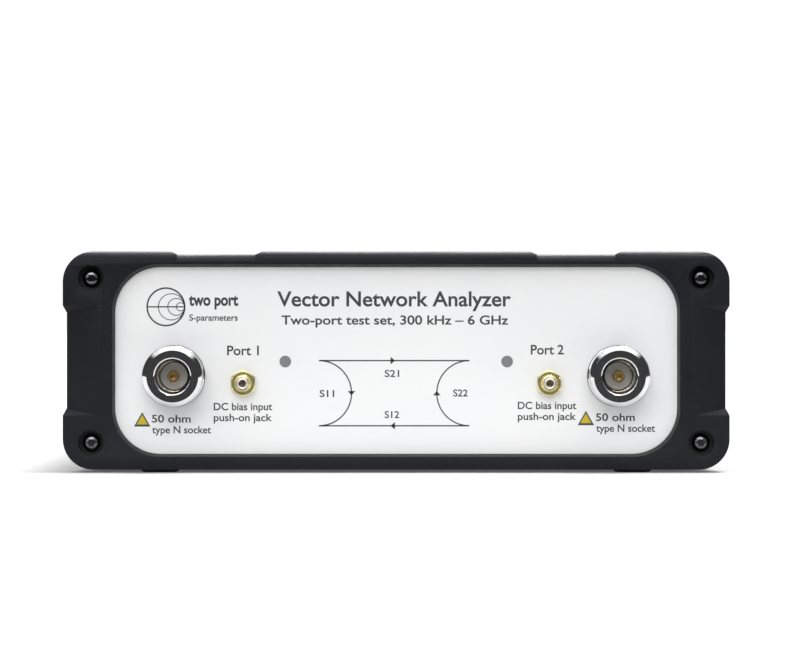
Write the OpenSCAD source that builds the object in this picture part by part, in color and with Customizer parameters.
// Two-port vector network analyzer: a long bench box carried between two moulded end bezels.
// X runs to the right seen from the front, Y from front to back and Z up. The origin lies on the
// table under the middle of the box, and the test ports stand out of the front, towards -Y.
// All sizes are in millimetres.

/* [Bezels] */
// Width of the end bezels
body_w = 174; // [172:1:178]
// Height of the end bezels
bezel_h = 57; // [57:0.5:60]
// Length over both bezels, without the connectors
body_l = 286; // [280:1:300]
// Corner radius of the bezels, seen from the front
bezel_r = 8; // [7:0.5:8.5]
// How far each bezel reaches along the box
bezel_d = 16; // [14:1:20]
// How far the bezels stand proud of the covers
bezel_step = 2.2; // [2.1:0.1:2.4]
// Chamfer round the bezels' outer face
bezel_chamfer = 1.2; // [0.8:0.1:1.4]

/* [Bezel window] */
// Width of the window that shows the panel
window_w = 147; // [144:1:148]
// Height of the window
window_h = 49; // [47:0.5:49.5]
// Corner radius of the window
window_r = 12; // [10:0.5:13]
// Depth of the panel's face behind the bezel's face
lip_t = 2.5; // [2.2:0.1:2.8]
// Chamfer round the window
lip_chamfer = 1; // [0.6:0.1:1.2]

/* [Bezel grips] */
// Depth of the flats in the bezel's sides
side_flat_t = 0.95; // [0.6:0.05:1.1]
// Length of each side flat at the bezel's skin
side_flat_l = 28.7; // [24:0.5:30]
// Depth of the two notches in the bezel's top
top_notch_t = 0.8; // [0.5:0.05:1]
// Half width of the raised pad between the top notches
pad_half_w = 35; // [32:1:38]
// Width of each top notch at the bezel's skin
top_notch_w = 24; // [20:1:26]
// Width of the scoop that falls away from the face to the side flat
scoop_w = 9; // [7:0.5:9.5]
// Depth of that scoop at the bezel's side
scoop_t = 2; // [1.2:0.1:2.2]

/* [Corner screws] */
// Distance between the corner screws, side to side
screw_pitch_x = 159.3; // [158.5:0.1:160]
// Distance between the corner screws, bottom to top
screw_pitch_z = 43; // [42.8:0.1:43.4]
// Depth of the counterbore that hides each head
counterbore_t = 3.3; // [2.8:0.1:3.5]

/* [Covers and panels] */
// Wall thickness of the two covers
cover_t = 2; // [1.8:0.1:2.2]
// Thickness of the metal panels
panel_t = 2; // [1.5:0.1:2]
// Thickness of the printed overlays
overlay_t = 0.3; // [0.2:0.05:0.4]
// Height of the rubber feet below the bezels
foot_h = 0.8; // [0.6:0.1:1.2]

/* [Test ports] */
// Distance between the two test ports
port_pitch = 116; // [115:0.5:117]
// Height of the ports' axes, from the bezel's middle
port_z = -4.1; // [-4.6:0.1:-3.6]
// Length of a port's barrel in front of the panel
port_l = 10.5; // [10:0.1:11]
// Outer diameter of the barrel's thread
port_d = 15.88; // [15.6:0.02:16]
// Bore of the barrel, for the mating plug
port_bore_d = 8.1; // [8:0.02:8.2]
// Outer diameter of the centre contact
port_contact_d = 3.04; // [3:0.02:3.1]

/* [Bias jacks and lamps] */
// Distance between the two bias jacks
bias_pitch = 80; // [79:0.5:81]
// Height of the bias jacks' axes, from the bezel's middle
bias_z = -6; // [-6.5:0.1:-5.5]
// Outer diameter of a bias jack's barrel
bias_d = 3.7; // [3.5:0.05:3.8]
// Width of the hex nut across its flats
bias_nut_af = 6.2; // [6:0.1:6.6]
// Distance between the two status lamps
lamp_pitch = 58; // [56:0.5:60]
// Diameter of a status lamp's window
lamp_d = 3; // [2.8:0.1:3.2]

/* [Rear connectors] */
// Distance between neighbouring bayonet sockets
socket_pitch = 17; // [17:0.1:17.2]
// Outer diameter of a bayonet socket's barrel
socket_d = 9.68; // [9.6:0.02:9.7]
// Side of the square cooling fan
fan_w = 40; // [40:1:40]
// Depth of the cooling fan
fan_t = 10; // [10:0.5:12]
// Angle that the power rocker turns between off and on
rocker_swing = 22; // [18:1:22]

/* [Hidden] */
$fn = 64;

SIDES = [-1, 1];
LEFT = -1;
RIGHT = 1;

// The box's own levels
mid_z = foot_h + bezel_h / 2;
front_y = -body_l / 2;
overlay_y = front_y + lip_t;
panel_y = overlay_y + overlay_t;
cover_y = panel_y + panel_t;
cover_w = body_w - 2 * bezel_step;
cover_h = bezel_h - 2 * bezel_step;
cover_r = bezel_r - bezel_step;
floor_z = mid_z - cover_h / 2 + cover_t;
slip = 0.1;
push_gap = 0.02;
past = 1;

// Panels
plate_w = window_w + 4;
plate_h = cover_h - 0.4;
plate_r = window_r - 2;
overlay_gap = 0.1;

// Screws of the case
screw_x = screw_pitch_x / 2;
screw_z = screw_pitch_z / 2;
screw_r = 1.45;
screw_port_r = 1.5;
screw_hole_r = 1.7;
counterbore_r = 3.3;
screw_boss_r = 3.3;
screw_l = 14;

// Feet
foot_r = 5;
foot_x = 62;
foot_seat_z = foot_h + 0.6;

// Joint and air slots of the covers
tongue_t = 0.9;
tongue_h = 1.5;
vent_count = 10;
vent_pitch = 6;
vent_w = 2.4;
vent_h = 12;

// Boards
board_t = 1.6;
board_z = mid_z - 18.65;
board_top = board_z + board_t;
board_half_w = 75;
board_front = front_y + 9.5;
board_back = 92;
board_tail_x = 25;
board_tail_y = 137;
standoffs = [[20, -125.2], [-20, -125.2], [70, -45], [-70, -45], [70, 55], [-70, 55], [70, 86], [-70, 112]];

// Front connectors
port_x = port_pitch / 2;
port_axis_z = mid_z + port_z;
port_r = port_d / 2;
port_bore_r = port_bore_d / 2;
port_contact_r = port_contact_d / 2;
port_core_r = 3.5;
port_relief_r = port_r - 0.4;
port_relief_l = 0.5;
port_seat_z = 1.4;
port_tip_chamfer = 1.25;
port_mouth_chamfer = 0.8;
port_nose_r = 5;
port_nose_l = 7;
port_tip = port_seat_z + 5;
port_pin_r = 0.7;
port_contact_hole_r = 0.85;
port_slot_w = 0.3;
port_insulator_l = 12;
flange_w = 22;
flange_t = 3;
flange_gap = 2;
flange_hole = 8.5;
flange_screw_r = 1.2;
bias_x = bias_pitch / 2;
bias_axis_z = mid_z + bias_z;
bias_r = bias_d / 2;
bias_thread_r = 2.3;
bias_nut_t = 2;
bias_l = 6.5;
bias_back = -12.3;
bias_bore_r = 1.1;
bias_seat_z = 2.6;
bias_core_r = 0.9;
bias_pin_r = 0.25;
bias_pin_z = 5;
lamp_x = lamp_pitch / 2;
lamp_z = mid_z - 0.3;
lens_l = 6.5;
lamp_board_y = front_y + 11;

// Coupler blocks and the shields, all standing on the main board
block_y = cover_y + flange_gap + flange_t;
block_l = 58;
block_w = 39;
block_x = 54.5;
block_top = mid_z + 7.7;
shield_t = 4;
receiver = [64, 98, 10];
receiver_y = -120;
source = [148, 62, 12];
source_y = -14;
lid_t = 1.5;

// Rear connectors, seen in the box's own X
socket_axis_z = board_top + 7.25;
socket_first_x = 16;
socket_l = 10.5;
socket_r = socket_d / 2;
socket_tip_r = socket_r - 0.24;
socket_bore_r = 4.06;
socket_tube_r = 2.4;
socket_contact_r = 1.05;
socket_body = 14.5;
socket_washer_t = 0.6;
socket_nut_af = 14.2;
socket_nut_t = 2.4;
usb_x = -51;
usb_size = [12, 16, 10.8];
usb_z = board_top + usb_size.z / 2;
usb_proud = 0.6;
usb_deep = 9;
jack_x = -64;
jack_size = [9, 12, 11];
jack_axis_z = board_top + 6.5;
jack_collar_r = 4;
jack_proud = 0.8;
jack_deep = 9;
jack_pin_r = 1.05;
jack_pin_l = 7.6;
fan_x = 47;
fan_hole = 16;
fan_bore_r = fan_w / 2 - 0.8;
fan_hub_r = 10.8;
fan_blade_r = fan_bore_r - 0.6;
fan_shaft_r = 1;
switch_x = -57;
switch_z = mid_z + 12.7;
switch_flange = [21, 1.6, 15];
switch_body = [19, 14.5, 12.8];
rocker_half_t = 5.2;
rocker_pivot = -overlay_y - 1.2;

// ---------------------------------------------------------------- shared shapes

// A flat rounded rectangle, centred
module rounded_rect(w, h, r) {
    square([w - 2 * r, h], center = true);
    square([w, h - 2 * r], center = true);
    for (x = SIDES, y = SIDES)
        translate([x * (w / 2 - r), y * (h / 2 - r)]) circle(r);
}

// Extrudes a flat shape, drawn as X and Z about the box's middle, from one Y to another
module along_y(from_y, to_y) {
    translate([0, to_y, mid_z]) rotate([90, 0, 0]) linear_extrude(to_y - from_y) children();
}

// Turns a shape's own +Z to face the front, with its origin at a point
module facing_front(x, y, z) {
    translate([x, y, z]) rotate([90, 0, 0]) children();
}

// Turns a shape's own +Z to face the back, with its origin at a point
module facing_back(x, y, z) {
    translate([x, y, z]) rotate([-90, 0, 0]) children();
}

// A block given by its lowest corner and size, which stands on the main board
module on_board(x, y, size) {
    translate([x, y, board_top]) cube(size);
}

// A regular hex prism by its width across the flats, with two flats level
module hex_prism(across_flats, h) {
    cylinder(h = h, r = across_flats / sqrt(3), $fn = 6);
}

// A hex nut's outside, with its outer corners turned down by a chamfer
module chamfered_nut(across_flats, h, chamfer) {
    corner_r = across_flats / sqrt(3);
    intersection() {
        hex_prism(across_flats, h);
        union() {
            cylinder(h = h - chamfer, r = corner_r + past);
            translate([0, 0, h - chamfer])
                cylinder(h = chamfer, r1 = corner_r, r2 = across_flats / 2 - chamfer / 4);
        }
    }
}

// A pan head screw with a six-lobe recess. Its head stands on Z = 0 and its shank runs down
module pan_screw(head_r, head_h, shank_r, shank_l, recess_r) {
    dome = head_h * 0.4;
    difference() {
        union() {
            cylinder(h = head_h - dome, r = head_r);
            translate([0, 0, head_h - dome]) cylinder(h = dome, r1 = head_r, r2 = head_r * 0.72);
            translate([0, 0, -shank_l]) cylinder(h = shank_l + head_h / 4, r = shank_r);
        }
        translate([0, 0, head_h * 0.4]) {
            cylinder(h = head_h, r = recess_r);
            for (lobe = [0:5])
                rotate(lobe * 60) translate([recess_r, 0, 0]) cylinder(h = head_h, r = recess_r * 0.3);
        }
    }
}

// Places a shape at the four corner screws of one end
module at_corner_screws() {
    for (x = SIDES, z = SIDES) translate([x * screw_x, 0, mid_z + z * screw_z]) children();
}

// ---------------------------------------------------------------- end bezels

// A notch with sloping ends, cut down from the line Y = 0
module notch(skin_w, depth) {
    slope = depth * 2;
    polygon([
        [-skin_w / 2 - slope, depth],
        [skin_w / 2 + slope, depth],
        [skin_w / 2 - slope, -depth],
        [-skin_w / 2 + slope, -depth]
    ]);
}

// The bezel's outline with its side flats and top notches
module bezel_outline() {
    notch_x = pad_half_w + top_notch_w / 2;
    difference() {
        rounded_rect(body_w, bezel_h, bezel_r);
        for (x = SIDES) translate([x * notch_x, bezel_h / 2]) notch(top_notch_w, top_notch_t);
        for (x = SIDES)
            translate([x * body_w / 2, 0]) rotate(-x * 90) notch(side_flat_l, side_flat_t);
    }
}

// A tapered slab that chamfers an outer edge or a window at 45 degrees
module taper(w, h, r, y, run, grow) {
    hull() {
        along_y(y, y + 0.01) rounded_rect(w, h, r, $fn = 32);
        along_y(y + run, y + run + 0.01)
            rounded_rect(w + 2 * grow, h + 2 * grow, r + grow, $fn = 32);
    }
}

// The slanting scoop that falls from the bezel's face to one side flat
module side_scoop(side) {
    run = scoop_t + past;
    intersection() {
        translate([side * body_w / 2, front_y, mid_z - side_flat_l]) linear_extrude(side_flat_l * 2)
            polygon([
                [-side * scoop_w, 0], [-side * scoop_w, -past], [side * past, -past],
                [side * past, scoop_t * (1 + past / scoop_w)]
            ]);
        translate([-body_w, 0, 0]) rotate([90, 0, 90]) linear_extrude(body_w * 2)
            polygon([
                [front_y - past, mid_z - side_flat_l / 2 - past],
                [front_y - past, mid_z + side_flat_l / 2 + past],
                [front_y + run, mid_z + side_flat_l / 2 - run],
                [front_y + run, mid_z - side_flat_l / 2 + run]
            ]);
    }
}

// A moulded bezel at the front end, with the pockets for the panel, the covers and a foot pair
module bezel() {
    over = 0.3;
    color("#26282c") difference() {
        intersection() {
            along_y(front_y, front_y + bezel_d) bezel_outline();
            union() {
                taper(body_w - 2 * bezel_chamfer, bezel_h - 2 * bezel_chamfer, bezel_r - bezel_chamfer,
                    front_y, bezel_chamfer + over, bezel_chamfer + over);
                along_y(front_y + bezel_chamfer, front_y + bezel_d + past)
                    square([body_w + past, bezel_h + past], center = true);
            }
        }
        along_y(front_y - past, panel_y + past) rounded_rect(window_w, window_h, window_r);
        taper(window_w + 2 * (lip_chamfer + over), window_h + 2 * (lip_chamfer + over),
            window_r + lip_chamfer + over, front_y - over, lip_chamfer + 2 * over, -lip_chamfer - 2 * over);
        along_y(panel_y, cover_y + past)
            rounded_rect(plate_w + 2 * slip, plate_h + 2 * slip, plate_r + slip);
        along_y(cover_y, front_y + bezel_d + past)
            rounded_rect(cover_w + 2 * slip, cover_h + 2 * slip, cover_r + slip);
        at_corner_screws() {
            facing_front(0, front_y + counterbore_t, 0) cylinder(h = counterbore_t + past, r = counterbore_r);
            facing_front(0, cover_y + past, 0) cylinder(h = lip_t + panel_t + past, r = screw_hole_r);
        }
        for (side = SIDES) side_scoop(side);
        at_front_feet() cylinder(h = foot_seat_z, r = foot_r + slip / 2);
    }
}

// ---------------------------------------------------------------- feet

module at_front_feet() {
    for (x = SIDES) translate([x * foot_x, front_y + bezel_d / 2, 0]) children();
}

module rubber_feet() {
    color("#1b1b1c") for (end = [0, 1]) mirror([0, end, 0]) at_front_feet() {
        cylinder(h = 0.3, r1 = foot_r - 0.3, r2 = foot_r);
        translate([0, 0, 0.3]) cylinder(h = foot_seat_z - 0.3, r = foot_r);
    }
}

// ---------------------------------------------------------------- covers

// Half of the covers' ring, above (1) or below (-1) the middle, with its two screw ports
module cover_profile(half) {
    intersection() {
        difference() {
            union() {
                difference() {
                    rounded_rect(cover_w, cover_h, cover_r);
                    rounded_rect(cover_w - 2 * cover_t, cover_h - 2 * cover_t, cover_r - cover_t);
                }
                for (x = SIDES) translate([x * screw_x, half * screw_z]) circle(screw_boss_r);
            }
            for (x = SIDES) translate([x * screw_x, half * screw_z]) circle(screw_port_r);
        }
        translate([-cover_w / 2, half > 0 ? 0 : -cover_h / 2]) square([cover_w, cover_h / 2]);
    }
}

// Two strips along the inner edge of the covers' joint
module joint_strips(t, h) {
    for (x = SIDES)
        translate([x * (cover_w / 2 - cover_t + t / 2), h / 2]) square([t, h], center = true);
}

module top_cover() {
    color("#33363b") difference() {
        along_y(cover_y, -cover_y) cover_profile(1);
        along_y(cover_y - past, -cover_y + past) joint_strips(tongue_t + 0.05, tongue_h + 0.05);
    }
}

// One upright air slot with round ends, cut through both side walls
module side_vent() {
    rotate([0, 90, 0]) linear_extrude(body_w, center = true) {
        square([vent_h - vent_w, vent_w], center = true);
        for (end = SIDES) translate([end * (vent_h - vent_w) / 2, 0]) circle(vent_w / 2);
    }
}

module bottom_cover() {
    color("#33363b") difference() {
        union() {
            along_y(cover_y, -cover_y) cover_profile(-1);
            along_y(cover_y, -cover_y) joint_strips(tongue_t, tongue_h);
        }
        for (i = [0:vent_count - 1])
            translate([0, front_y + 33 + i * vent_pitch, mid_z - 12]) side_vent();
    }
}

// ---------------------------------------------------------------- front panel

// Everything that passes through the front panel, with a clearance added to its radius
module front_holes(gap) {
    for (x = SIDES) {
        translate([x * port_x, port_z]) circle(port_r + gap);
        translate([x * bias_x, bias_z]) circle(bias_thread_r + gap);
        translate([x * lamp_x, lamp_z - mid_z]) circle(lamp_d / 2 + gap / 4);
    }
}

module front_panel() {
    color("#b9bcc0") along_y(panel_y, cover_y) difference() {
        rounded_rect(plate_w, plate_h, plate_r);
        front_holes(0.2);
    }
}

module front_overlay() {
    color("#f2f2f2") along_y(overlay_y, panel_y) difference() {
        rounded_rect(window_w - 2 * overlay_gap, window_h - 2 * overlay_gap, window_r - overlay_gap);
        front_holes(0.15);
    }
}

module status_lens(side) {
    color("#858b90") facing_front(side * lamp_x, overlay_y, lamp_z) translate([0, 0, -lens_l]) {
        cylinder(h = lens_l - 0.05, r = lamp_d / 2);
        cylinder(h = lens_l - overlay_t - panel_t - 0.1, r = lamp_d / 2 + 0.6);
    }
}

module status_leds() {
    lens_back = overlay_y + lens_l;
    color("#d9e6d0") for (x = SIDES) facing_front(x * lamp_x, lamp_board_y, lamp_z)
        cylinder(h = lamp_board_y - lens_back - 0.5, r = 1.5);
}

module lamp_board() {
    color("#1f6b45") translate([-33, lamp_board_y, board_top]) cube([66, board_t, 21]);
}

// ---------------------------------------------------------------- test ports

// The threaded jack of one test port, standing on the panel's face
module port_shell(side) {
    flange_face = -overlay_t - panel_t - flange_gap;
    nose_end = flange_face - flange_t - port_nose_l;
    color("#c9ccd0") facing_front(side * port_x, overlay_y, port_axis_z) difference() {
        union() {
            rotate_extrude() polygon([
                [0, nose_end], [port_nose_r, nose_end], [port_nose_r, flange_face],
                [port_relief_r, flange_face], [port_relief_r, port_relief_l], [port_r, port_relief_l],
                [port_r, port_l - 1], [port_r - port_tip_chamfer, port_l], [0, port_l]
            ]);
            translate([0, 0, flange_face - flange_t / 2]) cube([flange_w, flange_w, flange_t], center = true);
        }
        rotate_extrude() polygon([
            [0, port_l + past], [port_bore_r + port_mouth_chamfer + past, port_l + past],
            [port_bore_r + port_mouth_chamfer, port_l], [port_bore_r, port_l - port_mouth_chamfer],
            [port_bore_r, port_seat_z], [port_core_r, port_seat_z],
            [port_core_r, nose_end - past], [0, nose_end - past]
        ]);
        for (x = SIDES, y = SIDES)
            translate([x * flange_hole, y * flange_hole, flange_face - flange_t - past])
                cylinder(h = flange_t + 2 * past, r = flange_screw_r + 0.1);
    }
}

module port_insulator(side) {
    color("#e8e6df") facing_front(side * port_x, overlay_y, port_axis_z)
        translate([0, 0, -port_insulator_l]) difference() {
            cylinder(h = port_insulator_l + port_seat_z, r = port_core_r - push_gap);
            translate([0, 0, -past])
                cylinder(h = port_insulator_l + port_seat_z + 2 * past, r = port_contact_r + push_gap);
        }
}

// The sprung centre contact: a tube with four slots, and a solder pin behind
module port_contact(side) {
    back = -port_insulator_l - 2;
    round_l = 0.3;
    slot_l = 3.5;
    color("#caa24a") facing_front(side * port_x, overlay_y, port_axis_z) difference() {
        union() {
            translate([0, 0, back]) cylinder(h = port_tip - round_l - back, r = port_contact_r);
            translate([0, 0, port_tip - round_l])
                cylinder(h = round_l, r1 = port_contact_r, r2 = port_contact_r - 0.2);
            translate([0, 0, back - 5]) cylinder(h = 6, r = port_pin_r);
        }
        translate([0, 0, port_tip - 4.5]) cylinder(h = 4.5 + past, r = port_contact_hole_r);
        for (turn = [45, 135])
            rotate(turn) translate([-2, -port_slot_w / 2, port_tip - slot_l])
                cube([4, port_slot_w, slot_l + past]);
    }
}

module port_flange_screws() {
    color("#9a9da1") for (side = SIDES, x = SIDES, z = SIDES)
        facing_front(side * port_x + x * flange_hole, cover_y + flange_gap, port_axis_z + z * flange_hole)
            pan_screw(2.1, 1.5, flange_screw_r, 8, 0.7);
}

// ---------------------------------------------------------------- bias jacks

// A small coaxial jack. Its thread passes the panel, and a shoulder holds it from behind
module bias_jack(side) {
    panel_back = -overlay_t - panel_t;
    shoulder_r = 3.4;
    shoulder_t = 1.5;
    groove_r = bias_r - 0.25;
    color("#c8a552") facing_front(side * bias_x, overlay_y, bias_axis_z) rotate_extrude() difference() {
        polygon([
            [0, bias_back], [bias_thread_r, bias_back], [bias_thread_r, panel_back - shoulder_t],
            [shoulder_r, panel_back - shoulder_t], [shoulder_r, panel_back], [bias_thread_r, panel_back],
            [bias_thread_r, bias_nut_t + 0.3], [bias_r, bias_nut_t + 0.5], [bias_r, bias_l - 2],
            [groove_r, bias_l - 1.8], [groove_r, bias_l - 1.4], [bias_r, bias_l - 1.1],
            [bias_r, bias_l - 0.4], [bias_r - 0.4, bias_l], [0, bias_l]
        ]);
        translate([0, bias_seat_z]) square([bias_bore_r, bias_l - bias_seat_z + past]);
        translate([0, bias_back - past]) square([bias_core_r, bias_seat_z - bias_back + 2 * past]);
    }
}

module bias_insulator(side) {
    color("#e8e6df") facing_front(side * bias_x, overlay_y, bias_axis_z) difference() {
        translate([0, 0, bias_back + slip])
            cylinder(h = bias_seat_z - bias_back - 2 * slip, r = bias_core_r - push_gap);
        translate([0, 0, bias_back - past])
            cylinder(h = bias_seat_z - bias_back + 2 * past, r = bias_pin_r + push_gap);
    }
}

module bias_pin(side) {
    color("#caa24a") facing_front(side * bias_x, overlay_y, bias_axis_z) {
        translate([0, 0, bias_back - 2]) cylinder(h = bias_pin_z - bias_back + 2, r = bias_pin_r);
        translate([0, 0, bias_pin_z]) cylinder(h = 0.3, r1 = bias_pin_r, r2 = bias_pin_r / 2);
    }
}

module bias_nuts() {
    color("#c8a552") for (side = SIDES) facing_front(side * bias_x, overlay_y, bias_axis_z) difference() {
        rotate(30) chamfered_nut(bias_nut_af, bias_nut_t, 0.4);
        translate([0, 0, -past]) cylinder(h = bias_nut_t + 2 * past, r = bias_thread_r + 0.03);
    }
}

// ---------------------------------------------------------------- boards

module main_board() {
    color("#1f6b45") translate([0, 0, board_z]) linear_extrude(board_t) difference() {
        polygon([
            [-board_half_w, board_front], [board_half_w, board_front], [board_half_w, board_back],
            [board_tail_x, board_back], [board_tail_x, board_tail_y], [-board_half_w, board_tail_y]
        ]);
        for (at = standoffs) translate(at) circle(1.6);
    }
}

module board_standoffs() {
    color("#c2a14d") for (at = standoffs) translate([at.x, at.y, floor_z]) difference() {
        hex_prism(5.5, board_z - floor_z);
        translate([0, 0, -past]) cylinder(h = 12, r = 1.5);
    }
}

module board_screws() {
    color("#9a9da1") for (at = standoffs) translate([at.x, at.y, board_top])
        pan_screw(2.7, 1.8, screw_r, 5, 0.9);
}

// Chips, coils and capacitors that stand on the main board
module board_components() {
    chip_h = 1.3;
    color("#2a2a2c") {
        for (x = SIDES, y = [-60, -34]) on_board(x * 46 - 4.5, y, [9, 9, chip_h]);
        on_board(-50, 62, [23, 23, 2.2]);
        on_board(-18, 66, [12, 18, chip_h]);
        on_board(-47, 102, [9, 9, chip_h]);
        for (i = [0:3]) on_board(-30 + i * 15, 100, [6, 5, chip_h]);
        for (i = [0:1]) on_board(40 + i * 15, 62, [12, 12, 7]);
    }
    color("#4a5568") for (i = [0:2])
        translate([2 + i * 12, 78, board_top]) cylinder(h = 16, r = 5);
}

// ---------------------------------------------------------------- screened blocks

// The milled block behind one port, which holds the coupler and its bias tee
module coupler_block(side) {
    deep = block_top - board_top;
    wall = 4;
    color("#aeb1b5") difference() {
        translate([side * block_x - block_w / 2, block_y, board_top]) cube([block_w, block_l, deep]);
        translate([side * block_x - block_w / 2 + wall, block_y + 7, board_top + 4])
            cube([block_w - 2 * wall, block_l - 7 - wall, deep]);
        facing_front(side * port_x, block_y + 8, port_axis_z) cylinder(h = 9, r = 5.05);
        facing_front(side * bias_x, block_y + 8, bias_axis_z) cylinder(h = 9, r = bias_thread_r + 0.05);
        for (x = SIDES, z = SIDES)
            facing_front(side * port_x + x * flange_hole, block_y + 6, port_axis_z + z * flange_hole)
                cylinder(h = 7, r = flange_screw_r + 0.05);
        for (at = block_screws(side)) translate([at.x, at.y, block_top - 6]) cylinder(h = 7, r = 1);
    }
}

function block_screws(side) = [
    for (x = SIDES, y = [2, block_l - 2]) [side * block_x + x * (block_w / 2 - 2), block_y + y]
];

module coupler_lids() {
    color("#b9bcc0") for (side = SIDES) difference() {
        translate([side * block_x - block_w / 2, block_y, block_top]) cube([block_w, block_l, lid_t]);
        for (at = block_screws(side)) translate([at.x, at.y, block_top - past]) cylinder(h = 4, r = 1.1);
    }
}

// A walled frame with a row of open cells, standing on the board
module shield_frame(y, size, columns, rows) {
    cell = [(size.x - shield_t * (columns + 1)) / columns, (size.y - shield_t * (rows + 1)) / rows];
    color("#aeb1b5") difference() {
        on_board(-size.x / 2, y, size);
        for (i = [0:columns - 1], j = [0:rows - 1])
            on_board(-size.x / 2 + shield_t + i * (cell.x + shield_t), y + shield_t + j * (cell.y + shield_t),
                [cell.x, cell.y, size.z + past]);
        for (at = shield_holes(y, size))
            translate([at.x, at.y, board_top + size.z - 5]) cylinder(h = 6, r = 1);
    }
}

function shield_holes(y, size) = [
    for (x = SIDES, j = [0:2]) [x * (size.x / 2 - 2), y + 2 + j * (size.y - 4) / 2]
];

module shield_lid(y, size) {
    color("#b9bcc0") difference() {
        translate([-size.x / 2, y, board_top + size.z]) cube([size.x, size.y, lid_t]);
        for (at = shield_holes(y, size))
            translate([at.x, at.y, board_top + size.z - past]) cylinder(h = 4, r = 1.1);
    }
}

module shield_screws() {
    color("#9a9da1") {
        for (side = SIDES, at = block_screws(side)) translate([at.x, at.y, block_top + lid_t])
            pan_screw(1.9, 1.3, 0.95, 5, 0.6);
        for (at = shield_holes(receiver_y, receiver)) translate([at.x, at.y, board_top + receiver.z + lid_t])
            pan_screw(1.9, 1.3, 0.95, 5, 0.6);
        for (at = shield_holes(source_y, source)) translate([at.x, at.y, board_top + source.z + lid_t])
            pan_screw(1.9, 1.3, 0.95, 5, 0.6);
    }
}

// ---------------------------------------------------------------- semi-rigid links

link_r = 1.1;
link_swell = 0.04;
link_bend = 7;
link_z = board_top + 18;
link_end_z = board_top + 6;

// One 45 degree turn of a link, a hair thicker than its tube, from an angle about its own centre
module link_turn(from_angle) {
    rotate(from_angle) rotate_extrude(angle = 45) translate([link_bend, 0]) circle(link_r + link_swell);
}

// A straight stretch of a link along X, which runs a little way into the turns at its ends
module link_straight(len, before, after) {
    translate([-before, 0]) rotate([0, 90, 0]) cylinder(h = before + len + after, r = link_r);
}

// The two turns and three straights of a link's tube, drawn in X (back along the box) and Y (up)
module link_tube(reach, drop) {
    into = 0.2;
    turn = [link_bend * sin(45), -link_bend * (1 - cos(45))];
    slope_l = (drop + 2 * turn.y) / sin(45);
    slope_x = slope_l * cos(45);
    level = (reach - slope_x - 2 * turn.x) / 2;
    link_straight(level, 0, into);
    translate([level, -link_bend]) link_turn(45);
    translate([level + turn.x, turn.y]) rotate(-45) link_straight(slope_l, into, into);
    translate([level + 2 * turn.x + slope_x, link_bend - drop]) link_turn(225);
    translate([reach - level, -drop]) link_straight(level, into, 0);
}

// A hex coupling nut with the collar that it draws up, reaching 8 mm along X
module link_nut() {
    rotate([0, 90, 0]) {
        cylinder(h = 2, r = 3);
        translate([0, 0, 2]) hex_prism(8, 6);
    }
}

// A rigid line from a coupler block back and down to the source shield, with a nut at each end
module coax_link(side) {
    start_y = block_y + block_l;
    reach = source_y - start_y;
    drop = link_z - link_end_z;
    color("#c98f5a") translate([side * port_x, start_y, link_z]) rotate([90, 0, 90]) {
        link_tube(reach, drop);
        link_nut();
        translate([reach, -drop]) mirror([1, 0, 0]) link_nut();
    }
}

// ---------------------------------------------------------------- rear panel

socket_thread_r = 6.3;
switch_hole_gap = 0.1;
fan_opening_r = 18.2;
fan_screw_r = 2.1;

function socket_x(i) = socket_first_x - i * socket_pitch;

// Places a shape at the fan's four screws, in X and Z about the box's middle
module at_fan_screws() {
    for (x = SIDES, z = SIDES) translate([fan_x + x * fan_hole, z * fan_hole]) children();
}

// Everything that passes through the rear panel, drawn in X and Z about the box's middle
module rear_holes(gap) {
    translate([fan_x, 0]) circle(fan_opening_r);
    at_fan_screws() circle(fan_screw_r + gap);
    for (i = [0:3]) translate([socket_x(i), socket_axis_z - mid_z]) circle(socket_thread_r + gap);
    translate([usb_x, usb_z - mid_z]) square([usb_size.x + 2 * gap, usb_size.z + 2 * gap], center = true);
    translate([jack_x, jack_axis_z - mid_z]) circle(jack_collar_r + gap);
    translate([switch_x, switch_z - mid_z])
        square([switch_body.x + 2 * switch_hole_gap, switch_body.z + 2 * switch_hole_gap], center = true);
}

module rear_panel() {
    color("#b9bcc0") along_y(-cover_y, -panel_y) difference() {
        rounded_rect(plate_w, plate_h, plate_r);
        rear_holes(0.2);
    }
}

module rear_overlay() {
    color("#f2f2f2") along_y(-panel_y, -overlay_y) difference() {
        rounded_rect(window_w - 2 * overlay_gap, window_h - 2 * overlay_gap, window_r - overlay_gap);
        rear_holes(0.15);
    }
}

// ---------------------------------------------------------------- rear connectors

socket_thread_l = 3.6;
socket_seat = 2.2;
socket_tube_back = -12;
socket_contact_back = -10;
socket_behind = panel_t + overlay_t;

// A bayonet socket: a square body on the board and a barrel with two lugs through the panel
module bayonet_socket(i) {
    lug_z = socket_l - 4.2;
    tip_chamfer = 0.5;
    color("#c9ccd0") facing_back(socket_x(i), -overlay_y, socket_axis_z) difference() {
        union() {
            translate([0, 0, -socket_behind - socket_body / 2 - 0.2])
                cube([socket_body, socket_body, socket_body], center = true);
            translate([0, 0, -socket_behind - 1])
                cylinder(h = socket_behind + 1 + socket_thread_l, r = socket_thread_r);
            cylinder(h = lug_z + 1.2, r = socket_r);
            cylinder(h = socket_l - tip_chamfer, r = socket_tip_r);
            translate([0, 0, socket_l - tip_chamfer])
                cylinder(h = tip_chamfer, r1 = socket_tip_r, r2 = socket_tip_r - 0.4);
            translate([0, 0, lug_z]) rotate([0, 90, 0])
                cylinder(h = 2 * socket_r + 1.3, r = 1, center = true);
        }
        translate([0, 0, socket_seat]) cylinder(h = socket_l, r = socket_bore_r);
        translate([0, 0, socket_tube_back])
            cylinder(h = socket_seat - socket_tube_back + past, r = socket_tube_r);
    }
}

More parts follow.
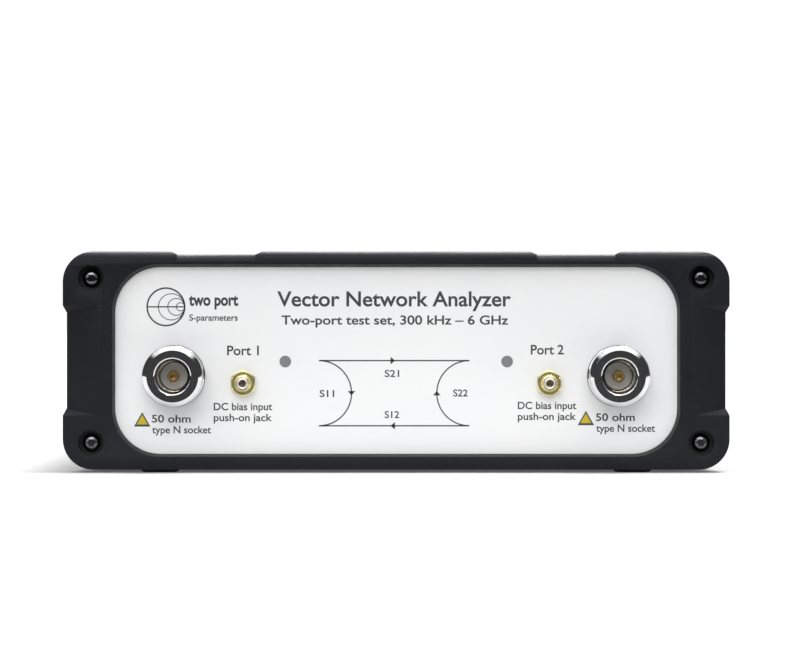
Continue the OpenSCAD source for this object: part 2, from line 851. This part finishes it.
module socket_insulators() {
    color("#e8e6df") for (i = [0:3]) facing_back(socket_x(i), -overlay_y, socket_axis_z) difference() {
        union() {
            translate([0, 0, socket_tube_back + slip])
                cylinder(h = socket_l - 1.2 - socket_tube_back - slip, r = socket_tube_r - push_gap);
            translate([0, 0, socket_seat + push_gap]) cylinder(h = 1.2, r = socket_bore_r - 0.03);
        }
        translate([0, 0, socket_contact_back]) cylinder(h = 22, r = socket_contact_r + push_gap);
    }
}

module socket_contacts() {
    color("#caa24a") for (i = [0:3]) facing_back(socket_x(i), -overlay_y, socket_axis_z) difference() {
        translate([0, 0, socket_contact_back + slip])
            cylinder(h = socket_l - 1.7 - socket_contact_back - slip, r = socket_contact_r);
        translate([0, 0, 4]) cylinder(h = 8, r = 0.7);
    }
}

// A hex nut over a lock washer on each bayonet socket's thread
module socket_nuts() {
    color("#b5b8bc") for (i = [0:3]) facing_back(socket_x(i), -overlay_y, socket_axis_z) difference() {
        union() {
            cylinder(h = socket_washer_t, r = 8.2);
            translate([0, 0, socket_washer_t]) chamfered_nut(socket_nut_af, socket_nut_t, 0.4);
        }
        translate([0, 0, -past]) cylinder(h = 6, r = socket_thread_r + 0.04);
    }
}

// The square type-B data socket: a folded metal shell with two bevelled upper corners in its mouth
module usb_socket() {
    mouth = [8.5, 7.8];
    bevel = 1.8;
    color("#c3c6ca") facing_back(usb_x, -overlay_y, usb_z) difference() {
        translate([0, 0, usb_proud - usb_size.y / 2])
            cube([usb_size.x, usb_size.z, usb_size.y], center = true);
        translate([0, 0, usb_proud - usb_deep]) linear_extrude(usb_deep + past) polygon([
            [-mouth.x / 2, mouth.y / 2], [mouth.x / 2, mouth.y / 2],
            [mouth.x / 2, bevel - mouth.y / 2], [mouth.x / 2 - bevel, -mouth.y / 2],
            [bevel - mouth.x / 2, -mouth.y / 2], [-mouth.x / 2, bevel - mouth.y / 2]
        ]);
    }
}

module usb_tongue() {
    color("#f0f0ee") facing_back(usb_x, -overlay_y, usb_z)
        translate([-2.8, -1.6, usb_proud - usb_deep]) cube([5.6, 3.2, 7.6]);
}

module power_jack() {
    color("#1d1d1f") facing_back(jack_x, -overlay_y, jack_axis_z) difference() {
        union() {
            translate([-jack_size.x / 2, -4.5, -socket_behind - jack_size.y - 0.1])
                cube([jack_size.x, jack_size.z, jack_size.y]);
            translate([0, 0, -socket_behind - 1])
                cylinder(h = socket_behind + 1 + jack_proud, r = jack_collar_r);
        }
        translate([0, 0, jack_proud - jack_deep]) cylinder(h = jack_deep + past, r = 3.15);
    }
}

module power_jack_pin() {
    color("#c9ccd0") facing_back(jack_x, -overlay_y, jack_axis_z)
        translate([0, 0, jack_proud - jack_deep]) {
            cylinder(h = jack_pin_l, r = jack_pin_r);
            translate([0, 0, jack_pin_l]) cylinder(h = 0.4, r1 = jack_pin_r, r2 = jack_pin_r * 0.6);
        }
}

// ---------------------------------------------------------------- fan

fan_back = -cover_y - fan_t;
fan_bearing_r = fan_shaft_r + 0.06;
fan_strut_t = 1.6;
fan_rotor_z = 2.2;

// Turns a fan part's own +Z to the back, with its origin on the fan's inner face
module at_fan() {
    facing_back(fan_x, fan_back, mid_z) children();
}

module fan_frame() {
    color("#18191a") at_fan() {
        difference() {
            linear_extrude(fan_t) rounded_rect(fan_w, fan_w, 3);
            translate([0, 0, -past]) cylinder(h = fan_t + 2 * past, r = fan_bore_r);
            for (x = SIDES, y = SIDES) translate([x * fan_hole, y * fan_hole, -past])
                cylinder(h = fan_t + 2 * past, r = fan_screw_r + 0.04);
        }
        difference() {
            union() {
                cylinder(h = fan_strut_t, r = fan_hub_r);
                cylinder(h = 6.5, r = 2.6);
                for (turn = [0:90:270]) rotate(turn + 20) translate([fan_hub_r - 1, -1.2, 0])
                    cube([fan_bore_r - fan_hub_r + 1.6, 2.4, fan_strut_t]);
            }
            translate([0, 0, -past]) cylinder(h = 9, r = fan_bearing_r);
        }
    }
}

// The hub cup with its shaft and seven slanting blades
module fan_rotor() {
    cup_t = 0.9;
    hub_h = fan_t - 0.6 - fan_rotor_z;
    blades = 7;
    blade_t = 0.9;
    pitch = 36;
    color("#18191a") at_fan() translate([0, 0, fan_rotor_z]) {
        difference() {
            cylinder(h = hub_h, r = fan_hub_r - 0.3);
            translate([0, 0, -past]) cylinder(h = hub_h - cup_t + past, r = fan_hub_r - 0.3 - cup_t);
        }
        translate([0, 0, -1.4]) cylinder(h = hub_h + 1, r = fan_shaft_r);
        intersection() {
            difference() {
                translate([0, 0, 0.3]) cylinder(h = hub_h - 0.6, r = fan_blade_r);
                translate([0, 0, -past]) cylinder(h = fan_t, r = fan_hub_r - 0.6);
            }
            for (i = [0:blades - 1]) rotate(i * 360 / blades) translate([0, 0, hub_h / 2])
                rotate([pitch, 0, 0]) translate([0, -10, -blade_t / 2]) cube([fan_w / 2, 20, blade_t]);
        }
    }
}

guard_wire_r = 0.6;
guard_rings = [5.5, 11, 16.5];

// The wire guard: three rings, a cross that joins them, and an eye under each screw
module fan_guard() {
    eye_r = 3;
    reach = fan_hole * sqrt(2);
    color("#c3c6ca") facing_back(fan_x, -overlay_y + guard_wire_r + 0.02, mid_z) {
        for (r = guard_rings) rotate_extrude() translate([r, 0]) circle(guard_wire_r);
        for (turn = [45:90:315]) rotate(turn) {
            translate([guard_rings[0] - 0.2, 0, 0]) rotate([0, 90, 0])
                cylinder(h = reach - eye_r - guard_rings[0] + 0.4, r = guard_wire_r - 0.05);
            translate([reach, 0, 0]) rotate_extrude() translate([eye_r, 0]) circle(guard_wire_r);
        }
    }
}

module fan_screws() {
    color("#2a2b2d") at_fan() for (x = SIDES, y = SIDES)
        translate([x * fan_hole, y * fan_hole, fan_t + socket_behind + 2 * guard_wire_r + 0.05])
            pan_screw(3.3, 2, fan_screw_r, 9, 1);
}

// ---------------------------------------------------------------- power switch

rocker_r = 7.4;
rocker_pin_r = 1.2;
rocker_gap = 0.3;

// Turns a switch part's own +Z to the back, with its origin on the rocker's pivot
module at_switch() {
    facing_back(switch_x, rocker_pivot, switch_z) children();
}

module switch_housing() {
    face = -overlay_y - rocker_pivot;
    deep = 4.5;
    well = [rocker_r + rocker_gap, rocker_half_t + rocker_gap];
    color("#161718") at_switch() difference() {
        union() {
            translate([0, 0, face + switch_flange.y / 2])
                cube([switch_flange.x, switch_flange.z, switch_flange.y], center = true);
            translate([0, 0, face - switch_body.y / 2])
                cube([switch_body.x, switch_body.z, switch_body.y], center = true);
            for (x = SIDES)
                translate([x * 5, 0, face - switch_body.y - 3]) cube([0.8, 4.8, 8], center = true);
        }
        translate([-well.x, -well.y, -deep])
            cube([2 * well.x, 2 * well.y, deep + face + switch_flange.y + past]);
        rotate([90, 0, 0]) cylinder(h = switch_body.z + past, r = rocker_pin_r + 0.05, center = true);
    }
}

// The rocker at rest, tipped to its off side. Its face is dished, so the pressed half lies level
module switch_rocker() {
    low = 2.6;
    high = low + rocker_r * tan(rocker_swing / 2);
    color("#1c1d1f") at_switch() rotate([0, rocker_swing / 2, 0]) {
        rotate([90, 0, 0]) linear_extrude(2 * rocker_half_t, center = true) intersection() {
            circle(rocker_r);
            polygon([
                [-rocker_r, -2.2], [rocker_r, -2.2], [rocker_r, high], [0, low], [-rocker_r, high]
            ]);
        }
        rotate([90, 0, 0]) cylinder(h = switch_body.z - 0.6, r = rocker_pin_r, center = true);
    }
}

// ---------------------------------------------------------------- fasteners of the case

module front_bezel_screws() {
    color("#222325") at_corner_screws() facing_front(0, front_y + counterbore_t, 0)
        pan_screw(2.35, 1.9, screw_r, screw_l, 0.8);
}

module rear_bezel_screws() {
    mirror([0, 1, 0]) front_bezel_screws();
}

// ---------------------------------------------------------------- what is drawn

bezel();  // front_bezel
mirror([0, 1, 0]) bezel();  // rear_bezel
top_cover();
bottom_cover();
front_panel();
front_overlay();
rear_panel();
rear_overlay();
front_bezel_screws();
rear_bezel_screws();
rubber_feet();
port_shell(LEFT);  // port_1_shell
port_insulator(LEFT);  // port_1_insulator
port_contact(LEFT);  // port_1_contact
port_shell(RIGHT);  // port_2_shell
port_insulator(RIGHT);  // port_2_insulator
port_contact(RIGHT);  // port_2_contact
port_flange_screws();
bias_jack(LEFT);  // bias_1_jack
bias_insulator(LEFT);  // bias_1_insulator
bias_pin(LEFT);  // bias_1_pin
bias_jack(RIGHT);  // bias_2_jack
bias_insulator(RIGHT);  // bias_2_insulator
bias_pin(RIGHT);  // bias_2_pin
bias_nuts();
status_lens(LEFT);  // status_lens_1
status_lens(RIGHT);  // status_lens_2
status_leds();
lamp_board();
main_board();
board_components();
board_standoffs();
board_screws();
coupler_block(LEFT);  // coupler_block_1
coupler_block(RIGHT);  // coupler_block_2
coupler_lids();
shield_frame(receiver_y, receiver, 2, 4);  // receiver_shield
shield_lid(receiver_y, receiver);  // receiver_lid
shield_frame(source_y, source, 5, 2);  // source_shield
shield_lid(source_y, source);  // source_lid
shield_screws();
coax_link(LEFT);  // coax_link_1
coax_link(RIGHT);  // coax_link_2
usb_socket();
usb_tongue();
power_jack();
power_jack_pin();
bayonet_socket(0);  // reference_in_socket
bayonet_socket(1);  // reference_out_socket
bayonet_socket(2);  // trigger_in_socket
bayonet_socket(3);  // trigger_out_socket
socket_insulators();
socket_contacts();
socket_nuts();
fan_frame();
fan_rotor();
fan_guard();
fan_screws();
switch_housing();
switch_rocker();
